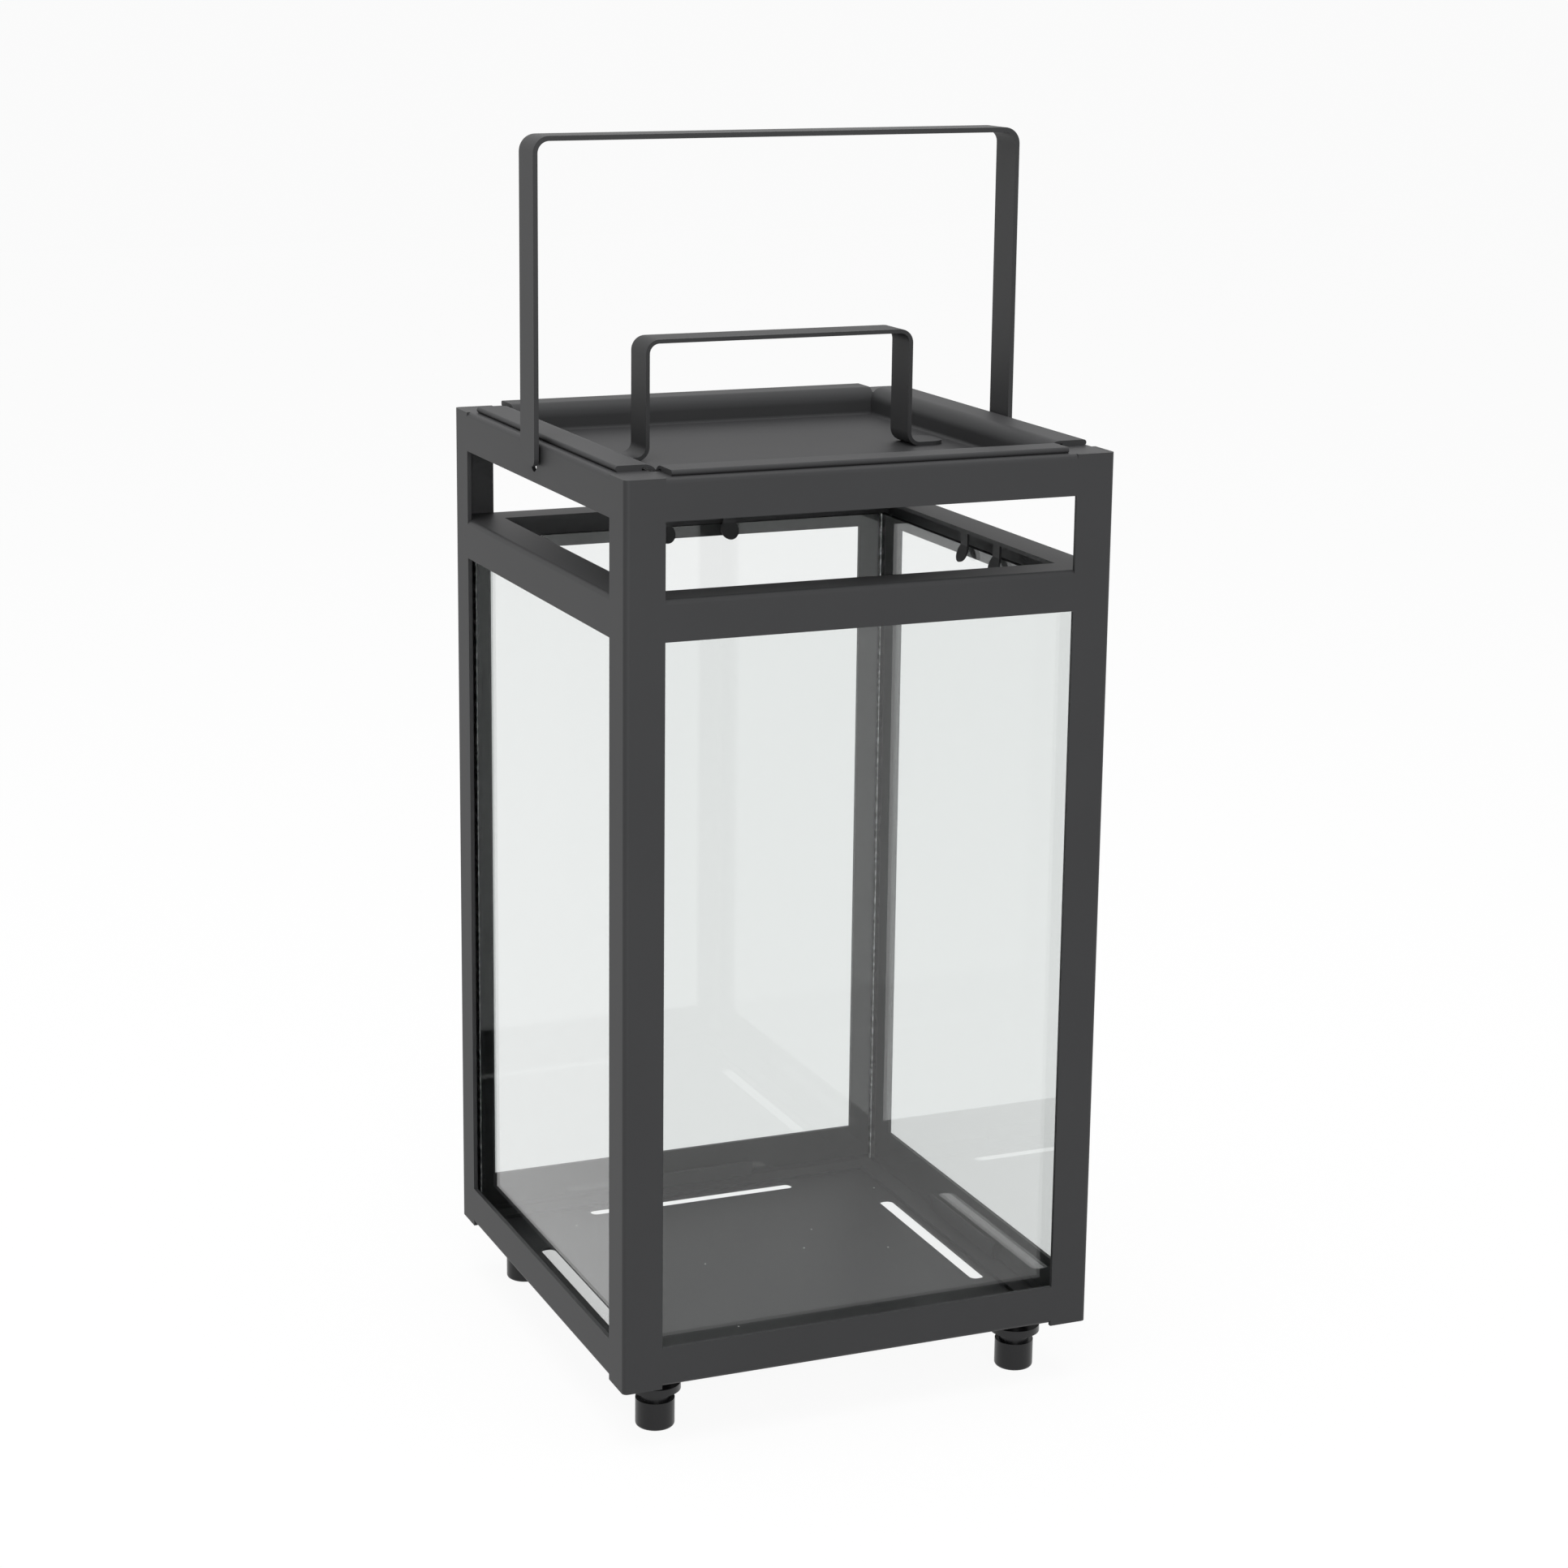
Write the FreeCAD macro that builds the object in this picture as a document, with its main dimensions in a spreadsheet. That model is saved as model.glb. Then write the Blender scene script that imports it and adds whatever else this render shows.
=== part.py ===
"""Candle lantern: an angle-iron frame round four glass panes, a lift-off tray lid and a swinging bail.

The frame stands on the floor at Z = 0, centred on the Z axis, with its front face towards -Y.
Each side of the lantern is drawn once, as the front side, and turned about the Z axis.
"""
import FreeCAD
import Part
import os
import Sketcher

SIZES = {
    # Frame of L-section angle, welded from four posts and three rings of rails.
    "frame_width": 250.0,        # along X, over the outer faces
    "frame_depth": 250.0,        # along Y, over the outer faces
    "post_length": 444.0,
    "foot_height": 30.5,         # from the floor to the lower end of the posts
    "angle_leg": 20.0,
    "angle_wall": 2.0,
    "angle_bend": 2.5,           # outer radius of the angle's heel
    "air_gap": 36.0,             # open height between the top rails and the mid rails
    "rail_lift": 1.2,            # bottom rails sit this far above the posts' lower ends
    # Floor plate, welded under the bottom rails.
    "floor_thick": 1.2,
    "floor_inset": 5.0,
    "slot_length": 117.0,
    "slot_width": 8.0,
    "slot_inset": 27.5,          # from the frame's face to the slot's centre line
    # Glass box and what holds it.
    "glass_thick": 3.0,
    "glass_inset": 6.6,          # from the frame's face to the pane's outer face
    "glass_overlap": 7.5,        # height of glass behind the mid rail
    "seal_gap": 0.5,             # sealed joint between two panes
    "clip_spacing": 36.5,
    "clip_offset": 6.5,          # the pair of clips sits beside the middle of its rail
    "clip_neck": 7.5,
    "clip_head": 10.0,           # diameter of the clip's round end
    "clip_thick": 1.2,
    "clip_weld": 7.0,            # length of the foot that is welded under the rail
    "clip_straight": 10.0,
    "clip_drop": 18.5,           # from the rail's lip down to the clip's tip
    "clip_curl": 3.2,            # how far the tip bends away from the glass
    "stop_length": 75.0,
    "stop_height": 8.3,
    "stop_thick": 1.5,
    "stop_offset": 4.0,
    "fit_gap": 0.3,              # clearance beside the glass
    # Feet.
    "foot_inset": 26.5,          # from the frame's faces to the foot's axis
    "peg_diameter": 15.0,
    "collar_diameter": 25.5,
    "collar_thick": 3.5,
    "collar_drop": 7.5,          # from the floor plate down to the collar
    "cap_diameter": 19.5,
    "cap_height": 14.5,
    "cap_floor": 3.0,
    "cap_round": 1.6,
    "cap_gap": 0.05,             # radial fit of the peg in its cap
    # Lid: a folded tray whose hemmed flanges rest on the top rails.
    "lid_thick": 1.4,
    "lid_inset": 3.6,            # from the frame's face to the flange's edge
    "lid_bend": 7.0,             # radius of the roll from the flange into the wall
    "lid_depth": 14.0,           # from the flange's top down to the tray's floor
    "tray_inset": 24.9,          # from the frame's face to the tray's wall
    "tray_round": 3.2,
    "hem_depth": 13.0,
    "notch_gap": 1.4,            # the flanges run this far past the tray's inner corners
    "lid_shift_x": 1.0,          # the lid rests off the middle, within its play in the frame
    "lid_shift_y": 1.0,
    # Lid handle: a flat strap bent into a bracket.
    "grip_span": 143.0,
    "grip_rise": 59.2,           # from the tray's floor to the top of the grip
    "grip_width": 20.5,
    "grip_thick": 2.0,
    "grip_bend": 7.0,
    "grip_foot": 19.5,
    "grip_foot_round": 7.0,
    # Bail handle: a flat strap whose tongues turn in holes of the side top rails.
    "bail_width": 20.5,
    "bail_thick": 2.4,
    "bail_bend": 8.2,
    "bail_gap": 1.0,             # between the frame's face and the arm
    "bail_rise": 156.4,          # from the pivot axis to the top of the bar
    "bail_end_round": 4.0,
    "pivot_drop": 9.8,           # from the frame's top to the pivot axis
    "tongue_width": 5.0,
    "tongue_reach": 7.0,
    "pivot_hole": 8.0,
    "pivot_sag": 1.0,            # the hole's centre lies below the lifted tongue
}

# Heights and distances that several pieces share.
DERIVED = {
    "frame_top": "foot_height + post_length",
    "top_rail_base": "frame_top - angle_leg",
    "mid_rail_top": "top_rail_base - air_gap",
    "mid_rail_base": "mid_rail_top - angle_leg",
    "bottom_rail_base": "foot_height + rail_lift",
    "floor_base": "bottom_rail_base - floor_thick",
    "glass_base": "bottom_rail_base + angle_wall",
    "glass_height": "mid_rail_base + glass_overlap - glass_base",
    "glass_inner": "glass_inset + glass_thick",
    "pivot_height": "frame_top - pivot_drop",
    "lid_top": "frame_top + 2 * lid_thick",
    "tray_floor": "lid_top - lid_depth",
    "wall_top": "lid_top - lid_bend",
}

# Name, turn about Z, and the frame sizes along and across the side.
SIDES = [
    ("front", 0, "frame_width", "frame_depth"),
    ("right", 90, "frame_depth", "frame_width"),
    ("back", 180, "frame_width", "frame_depth"),
    ("left", 270, "frame_depth", "frame_width"),
]

# Name and the signs of X and Y.
CORNERS = [
    ("front_left", -1, -1),
    ("front_right", 1, -1),
    ("back_right", 1, 1),
    ("back_left", -1, 1),
]

CUT_MARGIN = 5.0                 # how far a cutting outline reaches past the solid

doc = FreeCAD.newDocument("Lantern")
sheet = doc.addObject("Spreadsheet::Sheet", "Sizes")
for row, (name, size) in enumerate(SIZES.items(), start=1):
    sheet.set(f"A{row}", name)
    sheet.set(f"B{row}", str(size))
    sheet.setAlias(f"B{row}", name)
for row, (name, formula) in enumerate(DERIVED.items(), start=len(SIZES) + 1):
    sheet.set(f"A{row}", name)
    sheet.set(f"B{row}", "=" + formula)
    sheet.setAlias(f"B{row}", name)
doc.recompute()

ALIASES = sorted(list(SIZES) + list(DERIVED), key=len, reverse=True)


def bound(formula):
    """The formula with each size's name pointing at the spreadsheet."""
    words = formula.replace("(", "( ").replace(")", " )").split()
    return " ".join("Sizes." + word if word in ALIASES else word for word in words)


def size_of(formula):
    """The formula's present value."""
    return float(sheet.evalExpression(bound(formula)))


def new_body(name, turn=0):
    """An empty body that is turned about the Z axis."""
    body = doc.addObject("PartDesign::Body", name)
    body.Label = name
    body.Placement.Rotation = FreeCAD.Rotation(FreeCAD.Vector(0, 0, 1), turn)
    return body


def new_sketch(body, name, plane):
    """An empty sketch on one of the body's origin planes."""
    sketch = body.newObject("Sketcher::SketchObject", name)
    support = [feature for feature in body.Origin.OriginFeatures if feature.Role == plane]
    sketch.AttachmentSupport = (support[0], "")
    sketch.MapMode = "FlatFace"
    return sketch


def place_point(sketch, element, point, across, up):
    """Ties one point of an element to two formulas, measured from the origin."""
    for kind, formula, axis in (("DistanceX", across, -2), ("DistanceY", up, -1)):
        if formula == "0":
            sketch.addConstraint(Sketcher.Constraint("PointOnObject", element, point, axis))
            continue
        measure = Sketcher.Constraint(kind, -1, 1, element, point, size_of(formula))
        index = sketch.addConstraint(measure)
        sketch.setExpression(f"Constraints[{index}]", bound(formula))


def add_outline(sketch, corners):
    """A closed outline of straight lines through corners given as pairs of formulas."""
    first = sketch.GeometryCount
    points = [FreeCAD.Vector(size_of(across), size_of(up), 0) for across, up in corners]
    count = len(corners)
    for number in range(count):
        sketch.addGeometry(Part.LineSegment(points[number], points[(number + 1) % count]))
    for number in range(count):
        following = first + (number + 1) % count
        sketch.addConstraint(Sketcher.Constraint("Coincident", first + number, 2, following, 1))
    for number, (across, up) in enumerate(corners):
        place_point(sketch, first + number, 1, across, up)


def add_circle(sketch, across, up, diameter):
    """A circle whose centre and diameter follow formulas."""
    centre = FreeCAD.Vector(size_of(across), size_of(up), 0)
    circle = Part.Circle(centre, FreeCAD.Vector(0, 0, 1), size_of(diameter) / 2)
    element = sketch.addGeometry(circle)
    place_point(sketch, element, 3, across, up)
    index = sketch.addConstraint(Sketcher.Constraint("Diameter", element, size_of(diameter)))
    sketch.setExpression(f"Constraints[{index}]", bound(diameter))


def rectangle(left, right, low, high):
    """The four corners of a rectangle."""
    return [(left, low), (right, low), (right, high), (left, high)]


def mirrored(corners):
    """The corners on the other side of the sketch's vertical axis."""
    return [(f"-1 * ( {across} )", up) for across, up in reversed(corners)]


def pad(body, sketch, length, both_ways=False, reverse=False):
    """Adds material from the sketch, to one side or half to each side."""
    feature = body.newObject("PartDesign::Pad", sketch.Name + "_pad")
    feature.Profile = sketch
    feature.setExpression("Length", bound(length))
    feature.SideType = "Symmetric" if both_ways else "One side"
    feature.Reversed = reverse
    doc.recompute()
    return feature


def pocket(body, sketch):
    """Cuts the sketch through the whole solid, both ways."""
    before = body.Shape.Volume
    feature = body.newObject("PartDesign::Pocket", sketch.Name + "_cut")
    feature.Profile = sketch
    feature.Type = "ThroughAll"
    feature.SideType = "Symmetric"
    doc.recompute()
    if body.Shape.Volume >= before:
        raise RuntimeError(f"{body.Label}: {sketch.Name} cuts nothing")
    return feature


def round_edges(body, radius, wanted, name):
    """Rounds the edges of the body's last feature whose middle and direction are wanted."""
    tip = body.Tip
    chosen = []
    for number, edge in enumerate(tip.Shape.Edges, start=1):
        middle = edge.valueAt((edge.FirstParameter + edge.LastParameter) / 2)
        along = edge.tangentAt((edge.FirstParameter + edge.LastParameter) / 2)
        if wanted(middle, along):
            chosen.append(f"Edge{number}")
    if not chosen:
        raise RuntimeError(f"{body.Label}: no edge for {name}")
    feature = body.newObject("PartDesign::Fillet", name)
    feature.Base = (tip, chosen)
    feature.setExpression("Radius", bound(radius))
    doc.recompute()
    return feature


def near(one, other):
    """Two lengths that are equal but for rounding."""
    return abs(one - other) < 0.001


def post(name, sign_x, sign_y):
    """An upright of angle whose heel is the frame's corner."""
    body = new_body("post_" + name)
    sketch = new_sketch(body, "section", "XY_Plane")
    heel_x = f"{sign_x} * frame_width / 2"
    heel_y = f"{sign_y} * frame_depth / 2"
    corners = [
        (heel_x, heel_y),
        (f"{heel_x} - {sign_x} * angle_leg", heel_y),
        (f"{heel_x} - {sign_x} * angle_leg", f"{heel_y} - {sign_y} * angle_wall"),
        (f"{heel_x} - {sign_x} * angle_wall", f"{heel_y} - {sign_y} * angle_wall"),
        (f"{heel_x} - {sign_x} * angle_wall", f"{heel_y} - {sign_y} * angle_leg"),
        (heel_x, f"{heel_y} - {sign_y} * angle_leg"),
    ]
    add_outline(sketch, corners)
    pad(body, sketch, "post_length")
    edge_x = size_of(heel_x)
    edge_y = size_of(heel_y)
    round_edges(
        body,
        "angle_bend",
        lambda middle, along: near(middle.x, edge_x) and near(middle.y, edge_y),
        "heel",
    )
    body.setExpression(".Placement.Base.z", bound("foot_height"))
    return body


def rail(name, side, base, lip_on_top, pivot=False):
    """A rail of angle between two posts: an outer leg, and a lip that is mitred in the corners."""
    side_name, turn, along, across = side
    body = new_body(f"{name}_{side_name}", turn)
    outer = f"-1 * {across} / 2"
    lip_low = "angle_leg - angle_wall" if lip_on_top else "0"
    lip_high = "angle_leg" if lip_on_top else "angle_wall"
    section = new_sketch(body, "section", "YZ_Plane")
    if lip_on_top:
        corners = [
            (outer, "0"),
            (f"{outer} + angle_wall", "0"),
            (f"{outer} + angle_wall", lip_low),
            (f"{outer} + angle_leg", lip_low),
            (f"{outer} + angle_leg", lip_high),
            (outer, lip_high),
        ]
    else:
        corners = [
            (outer, "0"),
            (f"{outer} + angle_leg", "0"),
            (f"{outer} + angle_leg", lip_high),
            (f"{outer} + angle_wall", lip_high),
            (f"{outer} + angle_wall", "angle_leg"),
            (outer, "angle_leg"),
        ]
    add_outline(section, corners)
    pad(body, section, f"{along} - 2 * angle_wall", both_ways=True)
    heel_z = size_of("angle_leg") if lip_on_top else 0.0
    heel_y = size_of(outer)
    round_edges(
        body,
        "angle_bend",
        lambda middle, along: near(middle.y, heel_y) and near(middle.z, heel_z) and abs(along.x) > 0.9,
        "heel",
    )
    ends = new_sketch(body, "ends", "XY_Plane")
    opening = f"{along} / 2 - angle_leg"
    corners = [
        (opening, f"{outer} - {CUT_MARGIN}"),
        (f"{along} / 2 + {CUT_MARGIN}", f"{outer} - {CUT_MARGIN}"),
        (f"{along} / 2 + {CUT_MARGIN}", f"{outer} + angle_leg + {CUT_MARGIN}"),
        (opening, f"{outer} + angle_leg + {CUT_MARGIN}"),
        (opening, f"{outer} + angle_leg"),
        (f"{along} / 2 - angle_wall", f"{outer} + angle_wall"),
        (opening, f"{outer} + angle_wall"),
    ]
    add_outline(ends, corners)
    add_outline(ends, mirrored(corners))
    pocket(body, ends)
    if pivot:
        hole = new_sketch(body, "pivot_hole", "XZ_Plane")
        add_circle(hole, "0", f"pivot_height - pivot_sag - {base}", "pivot_hole")
        pocket(body, hole)
    body.setExpression(".Placement.Base.z", bound(base))
    return body


def floor_plate():
    """The plate under the bottom rails, with one long air slot near each side."""
    body = new_body("floor_plate")
    plate = new_sketch(body, "plate", "XY_Plane")
    half_x = "frame_width / 2 - floor_inset"
    half_y = "frame_depth / 2 - floor_inset"
    add_outline(plate, rectangle(f"-1 * ( {half_x} )", half_x, f"-1 * ( {half_y} )", half_y))
    pad(body, plate, "floor_thick")
    slots = new_sketch(body, "slots", "XY_Plane")
    half_length = "slot_length / 2"
    half_width = "slot_width / 2"
    for sign in (-1, 1):
        centre = f"{sign} * ( frame_depth / 2 - slot_inset )"
        low = f"{centre} - {half_width}"
        high = f"{centre} + {half_width}"
        add_outline(slots, rectangle(f"-1 * {half_length}", half_length, low, high))
        centre = f"{sign} * ( frame_width / 2 - slot_inset )"
        low = f"{centre} - {half_width}"
        high = f"{centre} + {half_width}"
        add_outline(slots, rectangle(low, high, f"-1 * {half_length}", half_length))
    pocket(body, slots)
    reach_x = size_of(half_x) - 1
    reach_y = size_of(half_y) - 1
    round_edges(
        body,
        "slot_width / 2 - 0.5",
        lambda middle, along: abs(along.z) > 0.9 and abs(middle.x) < reach_x and abs(middle.y) < reach_y,
        "slot_ends",
    )
    body.setExpression(".Placement.Base.z", bound("floor_base"))
    return body


def glass_pane(side):
    """A pane; the front and back panes stand between the side panes."""
    name, turn, along, across = side
    body = new_body("glass_" + name, turn)
    plan = new_sketch(body, "plan", "XY_Plane")
    if name in ("front", "back"):
        half = f"{along} / 2 - glass_inner - seal_gap"
    else:
        half = f"{along} / 2 - glass_inset"
    outer = f"-1 * {across} / 2 + glass_inset"
    add_outline(plan, rectangle(f"-1 * ( {half} )", half, outer, f"{outer} + glass_thick"))
    pad(body, plan, "glass_height")
    body.setExpression(".Placement.Base.z", bound("glass_base"))
    return body


def glass_seal():
    """The four thin joints of clear sealant between the panes' edges."""
    body = doc.addObject("Part::Compound", "glass_seal")
    body.Label = "glass_seal"
    strips = []
    for name, sign_x, sign_y in CORNERS:
        strip = doc.addObject("Part::Box", "seal_" + name)
        strip.setExpression("Length", bound("seal_gap"))
        strip.setExpression("Width", bound("glass_thick"))
        strip.setExpression("Height", bound("glass_height"))
        inner_x = "frame_width / 2 - glass_inner"
        inner_y = "frame_depth / 2 - glass_inset"
        start_x = f"{inner_x} - seal_gap" if sign_x > 0 else f"-1 * ( {inner_x} )"
        start_y = f"{inner_y} - glass_thick" if sign_y > 0 else f"-1 * ( {inner_y} )"
        strip.setExpression(".Placement.Base.x", bound(start_x))
        strip.setExpression(".Placement.Base.y", bound(start_y))
        strip.setExpression(".Placement.Base.z", bound("glass_base"))
        strips.append(strip)
    body.Links = strips
    return body


def clip_profile(body, outer):
    """The clip's side view: a welded foot, a straight stretch by the glass and a curled tip."""
    sketch = new_sketch(body, "profile", "YZ_Plane")
    face = f"{outer} + glass_inner + fit_gap"
    corners = [
        (face, "0"),
        (face, "-1 * clip_straight"),
        (f"{face} + clip_curl", "-1 * clip_drop"),
        (f"{face} + clip_curl + clip_thick", "-1 * clip_drop"),
        (f"{face} + clip_thick", "-1 * clip_straight"),
        (f"{face} + clip_thick", "-1 * clip_thick"),
        (f"{face} + clip_weld", "-1 * clip_thick"),
        (f"{face} + clip_weld", "0"),
    ]
    add_outline(sketch, corners)
    return sketch


def glass_clip(side, number, sign):
    """One bent clip under the mid rail's lip, with a narrow neck and a round end."""
    name, turn, along, across = side
    outer = f"-1 * {across} / 2"
    profile_body = new_body(f"clip_profile_{name}_{number}")
    pad(profile_body, clip_profile(profile_body, outer), "clip_head", both_ways=True)
    shape_body = new_body(f"clip_shape_{name}_{number}")
    neck = new_sketch(shape_body, "neck", "XZ_Plane")
    half = "clip_neck / 2"
    add_outline(neck, rectangle(f"-1 * {half}", half, "-1 * clip_drop + clip_head / 2", "1"))
    pad(shape_body, neck, f"{across}", both_ways=False)
    head = new_sketch(shape_body, "head", "XZ_Plane")
    add_circle(head, "0", "-1 * clip_drop + clip_head / 2", "clip_head")
    pad(shape_body, head, f"{across}", both_ways=False)
    clip = doc.addObject("Part::Common", f"clip_{name}_{number}")
    clip.Base = profile_body
    clip.Tool = shape_body
    clip.Placement.Rotation = FreeCAD.Rotation(FreeCAD.Vector(0, 0, 1), turn)
    clip.setExpression(".Placement.Base.z", bound("mid_rail_top - angle_wall"))
    shift = f"{sign} * clip_spacing / 2 - clip_offset"
    axis = {"front": ("x", ""), "right": ("y", ""), "back": ("x", "-1 * "), "left": ("y", "-1 * ")}
    letter, flip = axis[name]
    clip.setExpression(f".Placement.Base.{letter}", bound(f"{flip}( {shift} )"))
    doc.recompute()
    return clip


def glass_clips(side):
    """The pair of clips on one side."""
    group = doc.addObject("Part::Compound", "glass_clips_" + side[0])
    group.Label = "glass_clips_" + side[0]
    group.Links = [glass_clip(side, 1, -1), glass_clip(side, 2, 1)]
    return group


def glass_stop(side):
    """The strip on the bottom rail that keeps the pane's foot from sliding inwards."""
    name, turn, along, across = side
    body = new_body("glass_stop_" + name, turn)
    plan = new_sketch(body, "plan", "XY_Plane")
    inner = f"-1 * {across} / 2 + glass_inner + fit_gap"
    left = "-1 * stop_length / 2 - stop_offset"
    right = "stop_length / 2 - stop_offset"
    add_outline(plan, rectangle(left, right, inner, f"{inner} + stop_thick"))
    pad(body, plan, "stop_height")
    body.setExpression(".Placement.Base.z", bound("glass_base"))
    return body


def revolve(body, sketch):
    """Turns a half section about the vertical axis."""
    feature = body.newObject("PartDesign::Revolution", sketch.Name + "_turned")
    feature.Profile = sketch
    feature.ReferenceAxis = (sketch, ["V_Axis"])
    feature.Angle = 360.0
    doc.recompute()
    return feature


def set_on_foot_axis(body, sign_x, sign_y):
    """Moves a turned piece to its foot's axis."""
    body.setExpression(".Placement.Base.x", bound(f"{sign_x} * ( frame_width / 2 - foot_inset )"))
    body.setExpression(".Placement.Base.y", bound(f"{sign_y} * ( frame_depth / 2 - foot_inset )"))


def foot_peg(name, sign_x, sign_y):
    """The peg under the floor plate, with a wide collar above its cap."""
    body = new_body("foot_peg_" + name)
    sketch = new_sketch(body, "half_section", "XZ_Plane")
    radius = "peg_diameter / 2"
    collar = "collar_diameter / 2"
    collar_high = "floor_base - collar_drop"
    collar_low = "floor_base - collar_drop - collar_thick"
    corners = [
        ("0", "cap_floor"),
        (radius, "cap_floor"),
        (radius, collar_low),
        (collar, collar_low),
        (collar, collar_high),
        (radius, collar_high),
        (radius, "floor_base"),
        ("0", "floor_base"),
    ]
    add_outline(sketch, corners)
    revolve(body, sketch)
    set_on_foot_axis(body, sign_x, sign_y)
    return body


def foot_cap(name, sign_x, sign_y):
    """The cup-shaped rubber cap on a peg."""
    body = new_body("foot_cap_" + name)
    sketch = new_sketch(body, "half_section", "XZ_Plane")
    radius = "cap_diameter / 2"
    bore = "peg_diameter / 2 + cap_gap"
    corners = [
        ("0", "0"),
        (radius, "0"),
        (radius, "cap_height"),
        (bore, "cap_height"),
        (bore, "cap_floor"),
        ("0", "cap_floor"),
    ]
    add_outline(sketch, corners)
    revolve(body, sketch)
    rim = size_of(radius)
    round_edges(
        body,
        "cap_round",
        lambda middle, along: near(middle.z, 0) and near(middle.x ** 2 + middle.y ** 2, rim ** 2),
        "lower_rim",
    )
    set_on_foot_axis(body, sign_x, sign_y)
    return body


def lid_pan():
    """The recessed middle of the lid: a floor with four walls."""
    body = new_body("lid_pan")
    plan = new_sketch(body, "plan", "XY_Plane")
    half_x = "frame_width / 2 - tray_inset"
    half_y = "frame_depth / 2 - tray_inset"
    outer_x = f"{half_x} + lid_thick"
    outer_y = f"{half_y} + lid_thick"
    add_outline(plan, rectangle(f"-1 * ( {outer_x} )", outer_x, f"-1 * ( {outer_y} )", outer_y))
    pad(body, plan, "wall_top - tray_floor + lid_thick")
    round_edges(body, "tray_round", lambda middle, along: near(middle.z, 0), "lower_edges")
    body.setExpression(".Placement.Base.z", bound("tray_floor - lid_thick"))
    room = new_body("lid_room")
    plan = new_sketch(room, "plan", "XY_Plane")
    add_outline(plan, rectangle(f"-1 * ( {half_x} )", half_x, f"-1 * ( {half_y} )", half_y))
    pad(room, plan, "wall_top - tray_floor")
    round_edges(room, "tray_round - lid_thick", lambda middle, along: near(middle.z, 0), "lower_edges")
    room.setExpression(".Placement.Base.z", bound("tray_floor"))
    pan = doc.addObject("Part::Cut", "lid_pan_cut")
    pan.Base = body
    pan.Tool = room
    doc.recompute()
    return pan


def lid_flange(side):
    """One flange of the lid: its folded hem, its flat and the roll down to the wall."""
    name, turn, along, across = side
    body = new_body("lid_flange_" + name, turn)
    edge = f"-1 * {across} / 2 + lid_inset"
    wall = f"-1 * {across} / 2 + tray_inset"
    flat = new_sketch(body, "flat", "YZ_Plane")
    corners = [
        (edge, "frame_top"),
        (f"{edge} + hem_depth", "frame_top"),
        (f"{edge} + hem_depth", "lid_top - lid_thick"),
        (f"{wall} - lid_bend", "lid_top - lid_thick"),
        (f"{wall} - lid_bend", "lid_top"),
        (edge, "lid_top"),
    ]
    add_outline(flat, corners)
    length = f"{along} - 2 * ( tray_inset - notch_gap )"
    pad(body, flat, length, both_ways=True)
    edge_y = size_of(edge)
    round_edges(
        body,
        "lid_thick - 0.1",
        lambda middle, along: near(middle.y, edge_y) and abs(along.x) > 0.9,
        "hem",
    )
    ring = doc.addObject("Part::Cylinder", "lid_roll_" + name)
    ring.setExpression("Radius", bound("lid_bend"))
    ring.setExpression("Height", bound(length))
    ring.Placement.Rotation = FreeCAD.Rotation(FreeCAD.Vector(0, 1, 0), 90)
    core = doc.addObject("Part::Cylinder", "lid_core_" + name)
    core.setExpression("Radius", bound("lid_bend - lid_thick"))
    core.setExpression("Height", bound(length))
    core.Placement.Rotation = FreeCAD.Rotation(FreeCAD.Vector(0, 1, 0), 90)
    quarter = doc.addObject("Part::Box", "lid_quarter_" + name)
    quarter.setExpression("Length", bound(length))
    quarter.setExpression("Width", bound("lid_bend"))
    quarter.setExpression("Height", bound("lid_bend"))
    for piece in (ring, core, quarter):
        piece.setExpression(".Placement.Base.x", bound(f"-1 * ( {length} ) / 2"))
        piece.setExpression(".Placement.Base.y", bound(f"{wall} - lid_bend"))
        piece.setExpression(".Placement.Base.z", bound("wall_top"))
    tube = doc.addObject("Part::Cut", "lid_tube_" + name)
    tube.Base = ring
    tube.Tool = core
    roll = doc.addObject("Part::Common", "lid_bend_" + name)
    roll.Base = tube
    roll.Tool = quarter
    roll.Placement.Rotation = FreeCAD.Rotation(FreeCAD.Vector(0, 0, 1), turn)
    doc.recompute()
    return [body, roll]


def rest_off_centre(piece):
    """Moves a piece of the lid to where the lid rests."""
    piece.setExpression(".Placement.Base.x", bound("lid_shift_x"))
    piece.setExpression(".Placement.Base.y", bound("lid_shift_y"))


def lid_tray():
    """The whole folded lid in one piece."""
    pieces = [lid_pan()]
    for side in SIDES:
        pieces += lid_flange(side)
    tray = doc.addObject("Part::MultiFuse", "lid_tray")
    tray.Label = "lid_tray"
    tray.Shapes = pieces
    tray.Refine = True
    rest_off_centre(tray)
    doc.recompute()
    return tray


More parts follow.
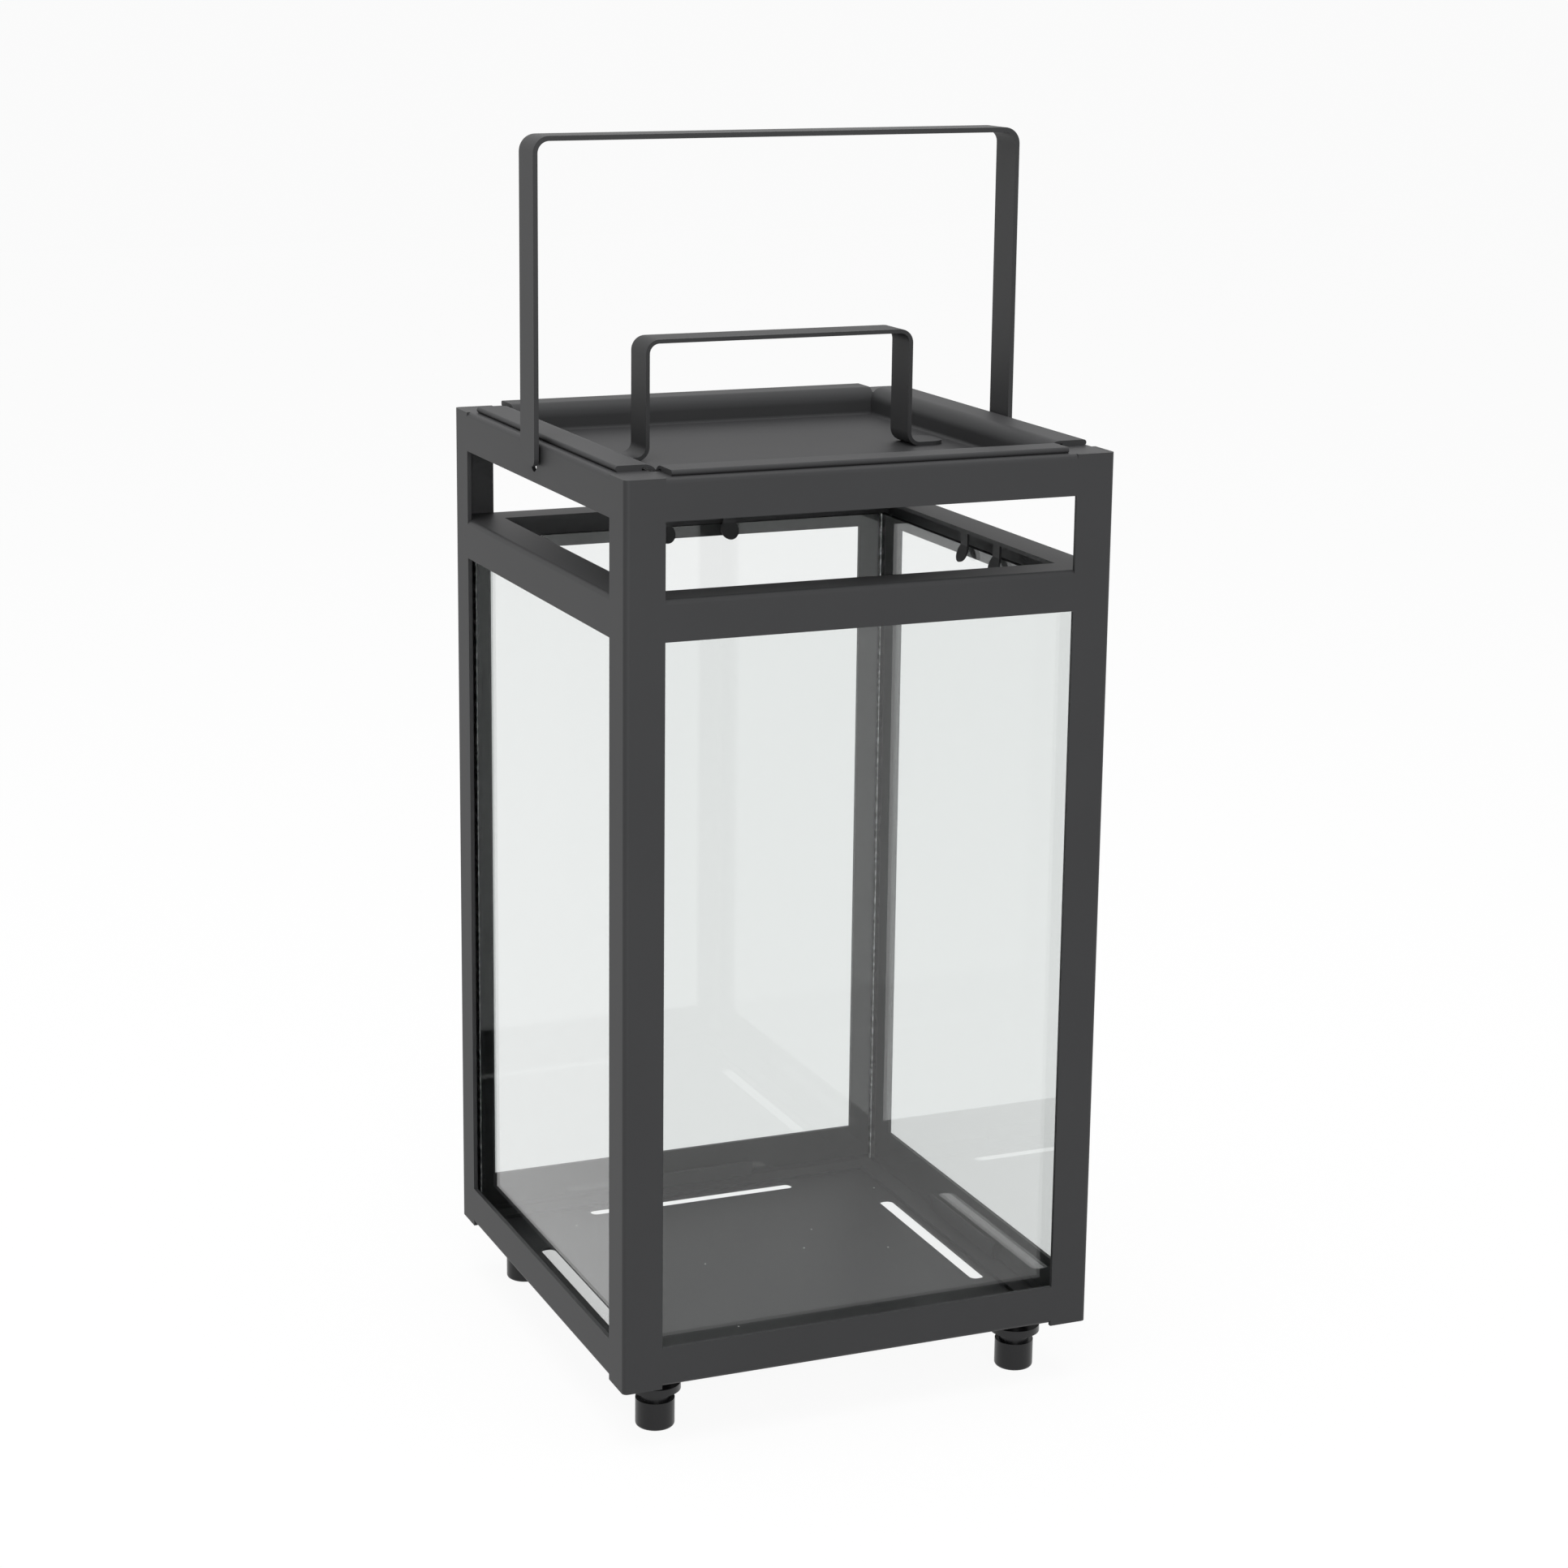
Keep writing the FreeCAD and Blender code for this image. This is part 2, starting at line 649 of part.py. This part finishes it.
def lid_handle():
    """The strap bracket on the tray's floor, with feet turned outwards."""
    body = new_body("lid_handle")
    sketch = new_sketch(body, "outline", "XZ_Plane")
    half = "grip_span / 2"
    right_half = [
        (f"{half} - grip_thick", "grip_rise - grip_thick"),
        (f"{half} - grip_thick", "0"),
        (f"{half} + grip_foot", "0"),
        (f"{half} + grip_foot", "grip_thick"),
        (half, "grip_thick"),
        (half, "grip_rise"),
    ]
    left_half = [(f"-1 * ( {across} )", up) for across, up in reversed(right_half)]
    add_outline(sketch, right_half + left_half)
    pad(body, sketch, "grip_width", both_ways=True)
    span = size_of(half)
    thick = size_of("grip_thick")
    rise = size_of("grip_rise")
    tip = size_of(f"{half} + grip_foot")
    round_edges(
        body,
        "grip_bend",
        lambda middle, along: near(abs(middle.x), span) and near(middle.z, rise)
        or near(abs(middle.x), span - thick) and near(middle.z, 0),
        "outer_bends",
    )
    round_edges(
        body,
        "grip_bend - grip_thick",
        lambda middle, along: near(abs(middle.x), span - thick) and near(middle.z, rise - thick)
        or near(abs(middle.x), span) and near(middle.z, thick),
        "inner_bends",
    )
    round_edges(
        body,
        "grip_foot_round",
        lambda middle, along: near(abs(middle.x), tip) and abs(along.z) > 0.9,
        "foot_ends",
    )
    body.setExpression(".Placement.Base.z", bound("tray_floor"))
    rest_off_centre(body)
    return body


def bail_handle():
    """The carrying strap: a bar, two arms, and a tongue at each arm's end that turns in a rail."""
    body = new_body("bail_handle")
    sketch = new_sketch(body, "outline", "XZ_Plane")
    outer = "frame_width / 2 + bail_gap + bail_thick"
    inner = "frame_width / 2 + bail_gap"
    arm_end = "-1 * bail_thick / 2"
    right_half = [
        (inner, "bail_rise - bail_thick"),
        (inner, arm_end),
        (outer, arm_end),
        (outer, "bail_rise"),
    ]
    left_half = [(f"-1 * ( {across} )", up) for across, up in reversed(right_half)]
    add_outline(sketch, right_half + left_half)
    pad(body, sketch, "bail_width", both_ways=True)
    tongues = new_sketch(body, "tongues", "XZ_Plane")
    tongue = rectangle(f"{inner} - tongue_reach", inner, arm_end, "bail_thick / 2")
    add_outline(tongues, tongue)
    add_outline(tongues, mirrored(tongue))
    pad(body, tongues, "tongue_width", both_ways=True)
    outer_x = size_of(outer)
    inner_x = size_of(inner)
    top = size_of("bail_rise")
    under = size_of("bail_rise - bail_thick")
    low = size_of(arm_end)
    half_width = size_of("bail_width / 2")
    round_edges(
        body,
        "bail_bend",
        lambda middle, along: near(abs(middle.x), outer_x) and near(middle.z, top),
        "outer_bends",
    )
    round_edges(
        body,
        "bail_bend - bail_thick",
        lambda middle, along: near(abs(middle.x), inner_x) and near(middle.z, under),
        "inner_bends",
    )
    round_edges(
        body,
        "bail_end_round",
        lambda middle, along: near(abs(middle.y), half_width) and near(middle.z, low) and abs(along.x) > 0.9,
        "arm_ends",
    )
    body.setExpression(".Placement.Base.z", bound("pivot_height"))
    return body


def build():
    """All sub-parts, each of which becomes one file."""
    nodes = [floor_plate(), glass_seal()]
    for name, sign_x, sign_y in CORNERS:
        nodes.append(post(name, sign_x, sign_y))
        nodes.append(foot_peg(name, sign_x, sign_y))
        nodes.append(foot_cap(name, sign_x, sign_y))
    for side in SIDES:
        on_side = side[0] in ("left", "right")
        nodes.append(rail("top_rail", side, "top_rail_base", lip_on_top=True, pivot=on_side))
        nodes.append(rail("mid_rail", side, "mid_rail_base", lip_on_top=True))
        nodes.append(rail("bottom_rail", side, "bottom_rail_base", lip_on_top=False))
        nodes.append(glass_pane(side))
        nodes.append(glass_clips(side))
        nodes.append(glass_stop(side))
    nodes.append(lid_tray())
    nodes.append(lid_handle())
    nodes.append(bail_handle())
    return nodes


def check(nodes):
    """Stops on any object that failed and on any sub-part that isn't sound."""
    for item in doc.Objects:
        if "Invalid" in item.State or "Error" in item.State:
            raise RuntimeError(f"{item.Label} failed: {item.State}")
    for node in nodes:
        if node.Shape.isNull() or not node.Shape.isValid():
            raise RuntimeError(f"{node.Label} has no sound shape")


parts = build()
doc.recompute()
check(parts)
os.makedirs("parts", exist_ok=True)
for part in parts:
    part.Shape.exportStep(f"parts/{part.Label}.step")
    print(part.Label, len(part.Shape.Solids), round(part.Shape.Volume, 1))
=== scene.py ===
"""Looks for the candle lantern.

Powder-coated angle iron, clear glass and black foot caps, on a plain white stage.
Lengths are in metres, lamp powers in watts, and colours are linear.
"""

import math

import bpy
from mathutils import Matrix, Vector

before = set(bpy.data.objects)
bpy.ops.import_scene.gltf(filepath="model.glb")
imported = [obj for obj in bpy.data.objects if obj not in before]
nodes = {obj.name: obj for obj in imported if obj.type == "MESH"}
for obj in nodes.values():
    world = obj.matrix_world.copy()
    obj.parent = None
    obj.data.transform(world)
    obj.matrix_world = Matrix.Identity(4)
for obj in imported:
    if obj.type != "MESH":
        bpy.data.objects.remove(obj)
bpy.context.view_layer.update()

# ---------------------------------------------------------------- finishes

COAT_COLOR = (0.037, 0.0374, 0.0388)
COAT_SPECULAR = 0.24
COAT_ROUGHNESS = 0.5
LID_ROUGHNESS = 0.55
GRAIN_SCALE = 1500.0             # the orange peel's bumps
GRAIN_STRENGTH = 0.12
GRAIN_HEIGHT = 0.00015
MOTTLE_SCALE = 14.0
MOTTLE_RANGE = (0.9, 1.1)        # how far the mottle darkens and lightens the coat

DUST_COLOR = (0.6, 0.6, 0.58, 1)
DUST_SCALE = 70.0
DUST_RADIUS = 0.035              # of a cell
DUST_RARITY = 0.95               # the share of cells left without a grain

PANE_COLOR = (0.88, 0.895, 0.89, 1)
PANE_IOR = 1.5

SEAL_ROUGHNESS = 0.25
SEAL_SCALE = 260.0
# The seal's own grey, then bright specks that are painted glints of the glass edges.
SEAL_DULL = (0.45, (0.34, 0.36, 0.35, 1))
SEAL_PAINTED_GLINT = (0.6, (0.95, 0.96, 0.95, 1))

BLACK = (0.007, 0.007, 0.008, 1)

MIX_A, MIX_B, MIX_RESULT = 6, 7, 2   # the colour sockets of a Mix node


def new_material(name):
    """A material with its Principled shader, and its nodes and links."""
    material = bpy.data.materials.new(name)
    material.use_nodes = True
    return material, material.node_tree.nodes, material.node_tree.links


def math_node(n, links, operation, first, second):
    """The result of a Math node on a socket and on a second socket or number."""
    node = n.new("ShaderNodeMath")
    node.operation = operation
    links.new(first, node.inputs[0])
    if isinstance(second, float):
        node.inputs[1].default_value = second
    else:
        links.new(second, node.inputs[1])
    return node.outputs[0]


def noise(n, links, scale, detail):
    """Noise that stays fixed to the object."""
    where = n.new("ShaderNodeTexCoord")
    texture = n.new("ShaderNodeTexNoise")
    texture.inputs["Scale"].default_value = scale
    texture.inputs["Detail"].default_value = detail
    links.new(where.outputs["Object"], texture.inputs["Vector"])
    return texture.outputs["Fac"]


def powder_coat(name, roughness):
    """Fine-textured powder coat: an orange-peel bump and a faint mottle."""
    material, n, links = new_material(name)
    shader = n["Principled BSDF"]
    shader.inputs["Roughness"].default_value = roughness
    shader.inputs["Specular IOR Level"].default_value = COAT_SPECULAR
    mottle = n.new("ShaderNodeMapRange")
    mottle.inputs["To Min"].default_value, mottle.inputs["To Max"].default_value = MOTTLE_RANGE
    links.new(noise(n, links, MOTTLE_SCALE, 3.0), mottle.inputs["Value"])
    tint = n.new("ShaderNodeVectorMath")
    tint.operation = "SCALE"
    tint.inputs[0].default_value = COAT_COLOR
    links.new(mottle.outputs["Result"], tint.inputs["Scale"])
    links.new(tint.outputs["Vector"], shader.inputs["Base Color"])
    bump = n.new("ShaderNodeBump")
    bump.inputs["Strength"].default_value = GRAIN_STRENGTH
    bump.inputs["Distance"].default_value = GRAIN_HEIGHT
    links.new(noise(n, links, GRAIN_SCALE, 2.0), bump.inputs["Height"])
    links.new(bump.outputs["Normal"], shader.inputs["Normal"])
    return material


def dusty_coat(name, roughness):
    """The coat of the lantern's floor, with a few pale grains of dust lying on it."""
    material = powder_coat(name, roughness)
    n, links = material.node_tree.nodes, material.node_tree.links
    base_color = n["Principled BSDF"].inputs["Base Color"]
    coat_color = base_color.links[0].from_socket
    where = n.new("ShaderNodeTexCoord")
    cells = n.new("ShaderNodeTexVoronoi")
    cells.voronoi_dimensions = "2D"
    cells.inputs["Scale"].default_value = DUST_SCALE
    links.new(where.outputs["Object"], cells.inputs["Vector"])
    cell_value = n.new("ShaderNodeSeparateColor")
    links.new(cells.outputs["Color"], cell_value.inputs[0])
    near = math_node(n, links, "LESS_THAN", cells.outputs["Distance"], DUST_RADIUS)
    few = math_node(n, links, "GREATER_THAN", cell_value.outputs["Red"], DUST_RARITY)
    mixed = n.new("ShaderNodeMix")
    mixed.data_type = "RGBA"
    links.new(math_node(n, links, "MULTIPLY", near, few), mixed.inputs["Factor"])
    links.new(coat_color, mixed.inputs[MIX_A])
    mixed.inputs[MIX_B].default_value = DUST_COLOR
    links.new(mixed.outputs[MIX_RESULT], base_color)
    return material


def pane_glass(name):
    """Clear float glass with a slight grey cast."""
    material, n, _ = new_material(name)
    shader = n["Principled BSDF"]
    shader.inputs["Base Color"].default_value = PANE_COLOR
    shader.inputs["Roughness"].default_value = 0.0
    shader.inputs["IOR"].default_value = PANE_IOR
    shader.inputs["Transmission Weight"].default_value = 1.0
    return material


def seal_with_painted_glints(name):
    """A pale grey bead at the glass corners, with bright specks along it that are painted
    glints of the glass edges.
    """
    material, n, links = new_material(name)
    shader = n["Principled BSDF"]
    shader.inputs["Roughness"].default_value = SEAL_ROUGHNESS
    ramp = n.new("ShaderNodeValToRGB")
    for stop, (position, color) in zip(ramp.color_ramp.elements, (SEAL_DULL, SEAL_PAINTED_GLINT)):
        stop.position = position
        stop.color = color
    # The noise scatters the painted glints along the bead.
    links.new(noise(n, links, SEAL_SCALE, 3.0), ramp.inputs["Fac"])
    links.new(ramp.outputs["Color"], shader.inputs["Base Color"])
    return material


def plain(name, color, roughness, specular):
    """One even colour and gloss."""
    material, n, _ = new_material(name)
    shader = n["Principled BSDF"]
    shader.inputs["Base Color"].default_value = color
    shader.inputs["Roughness"].default_value = roughness
    shader.inputs["Specular IOR Level"].default_value = specular
    return material


coat = powder_coat("frame_paint", COAT_ROUGHNESS)
lid_coat = powder_coat("lid_paint", LID_ROUGHNESS)
floor_coat = dusty_coat("floor_paint", COAT_ROUGHNESS)
peg_paint = plain("peg_paint", BLACK, roughness=0.3, specular=0.4)
cap_rubber = plain("cap_rubber", BLACK, roughness=0.32, specular=0.35)
glass = pane_glass("pane_glass")
sealant = seal_with_painted_glints("sealant")

# The first beginning that a piece's name has gives its finish, and the rest have the coat.
FINISHES = (
    ("glass_seal", sealant),
    ("glass_clips", coat),
    ("glass_stop", coat),
    ("glass_", glass),
    ("foot_peg", peg_paint),
    ("foot_cap", cap_rubber),
    ("floor_plate", floor_coat),
    ("lid", lid_coat),
)

for name, obj in nodes.items():
    chosen = next((finish for start, finish in FINISHES if name.startswith(start)), coat)
    for slot in obj.material_slots:
        slot.material = chosen

# ---------------------------------------------------------------- stage

WHITE = (1, 1, 1, 1)
SKY_FILL = 0.35                  # the world's light on matt surfaces
SKY_SEEN = 0.96                  # what camera, metal and glass see, level with the floor's edge

FLOOR_HALF = 6.0
FLOOR_DROP = 0.0002              # keeps the sheet clear of the feet
FLOOR_MATT = (0.8, 0.8, 0.8, 1)  # what the floor bounces onto the object
FLOOR_GLOW = 0.93                # the floor as seen: a glow, and a little of the light that
FLOOR_SOFT = (0.085, 0.085, 0.085, 1)   # falls on it, so that the object's shadow stays


def shows_backdrop(n, links):
    """1 for camera, glossy and transmission rays, which all show the same white backdrop."""
    path = n.new("ShaderNodeLightPath").outputs
    seen = math_node(n, links, "MAXIMUM", path["Is Camera Ray"], path["Is Glossy Ray"])
    return math_node(n, links, "MAXIMUM", seen, path["Is Transmission Ray"])


def world_light():
    """A white backdrop, and a plain fill for matt surfaces."""
    world = bpy.data.worlds.new("studio")
    bpy.context.scene.world = world
    world.use_nodes = True
    n, links = world.node_tree.nodes, world.node_tree.links
    strength = n.new("ShaderNodeMapRange")
    strength.inputs["To Min"].default_value = SKY_FILL
    strength.inputs["To Max"].default_value = SKY_SEEN
    links.new(shows_backdrop(n, links), strength.inputs["Value"])
    background = n["Background"]
    background.inputs["Color"].default_value = WHITE
    links.new(strength.outputs["Result"], background.inputs["Strength"])


def area_lamp(name, where, aim, size, power):
    """A soft rectangular lamp that faces aim."""
    light = bpy.data.lights.new(name, "AREA")
    light.shape = "RECTANGLE"
    light.size, light.size_y = size
    light.energy = power
    lamp = bpy.data.objects.new(name, light)
    bpy.context.scene.collection.objects.link(lamp)
    lamp.location = where
    lamp.rotation_euler = (Vector(aim) - Vector(where)).to_track_quat("-Z", "Y").to_euler()


def floor_material():
    """Matt white to the light it bounces, and the backdrop's white wherever it is seen."""
    material, n, links = new_material("floor")
    n.remove(n["Principled BSDF"])
    matt = n.new("ShaderNodeBsdfDiffuse")
    matt.inputs["Color"].default_value = FLOOR_MATT
    soft = n.new("ShaderNodeBsdfDiffuse")
    soft.inputs["Color"].default_value = FLOOR_SOFT
    glow = n.new("ShaderNodeEmission")
    glow.inputs["Strength"].default_value = FLOOR_GLOW
    white = n.new("ShaderNodeAddShader")
    links.new(soft.outputs[0], white.inputs[0])
    links.new(glow.outputs[0], white.inputs[1])
    chosen = n.new("ShaderNodeMixShader")
    links.new(shows_backdrop(n, links), chosen.inputs["Fac"])
    links.new(matt.outputs[0], chosen.inputs[1])
    links.new(white.outputs[0], chosen.inputs[2])
    links.new(chosen.outputs[0], n["Material Output"].inputs["Surface"])
    return material


def white_floor():
    """The sheet that the lantern stands on."""
    half = FLOOR_HALF
    corners = [(-half, -half, 0), (half, -half, 0), (half, half, 0), (-half, half, 0)]
    mesh = bpy.data.meshes.new("floor")
    mesh.from_pydata(corners, [], [(0, 1, 2, 3)])
    sheet = bpy.data.objects.new("floor", mesh)
    bpy.context.scene.collection.objects.link(sheet)
    sheet.location.z = -FLOOR_DROP
    sheet.data.materials.append(floor_material())


world_light()
area_lamp("top", where=(-0.3, -0.2, 2.6), aim=(0, 0, 0), size=(2.2, 2.2), power=38)
area_lamp("front", where=(-0.5, -2.6, 0.9), aim=(0, 0, 0.3), size=(1.4, 1.0), power=27)
white_floor()

# ---------------------------------------------------------------- camera

# The photograph's camera, solved from the frame's edges. It looks along +Y at azimuth 0.
SENSOR_MM = 36.0
LENS_MM = 76.538
SHIFT_X, SHIFT_Y = 0.06746, -0.0559
AZIMUTH, ELEVATION, ROLL = math.radians(-21.5606), math.radians(13.0142), math.radians(0.2961)
CAMERA_AT = (-0.64718, -1.51339, 0.71795)
CLIP_NEAR, CLIP_FAR = 0.05, 50.0


def photo_camera():
    """Makes the scene's camera and sets its place, turn and lens."""
    data = bpy.data.cameras.new("camera")
    camera = bpy.data.objects.new("camera", data)
    bpy.context.scene.collection.objects.link(camera)
    bpy.context.scene.camera = camera
    data.sensor_width = SENSOR_MM
    data.lens = LENS_MM
    data.shift_x, data.shift_y = SHIFT_X, SHIFT_Y
    data.clip_start, data.clip_end = CLIP_NEAR, CLIP_FAR
    ahead = Vector((
        -math.sin(AZIMUTH) * math.cos(ELEVATION),
        math.cos(AZIMUTH) * math.cos(ELEVATION),
        -math.sin(ELEVATION),
    ))
    right = ahead.cross(Vector((0, 0, 1))).normalized()
    up = right.cross(ahead)
    rolled_right = right * math.cos(ROLL) + up * math.sin(ROLL)
    rolled_up = up * math.cos(ROLL) - right * math.sin(ROLL)
    place = Matrix((rolled_right, rolled_up, -ahead)).transposed().to_4x4()
    place.translation = Vector(CAMERA_AT)
    camera.matrix_world = place


photo_camera()
bpy.context.scene.view_settings.view_transform = "Standard"
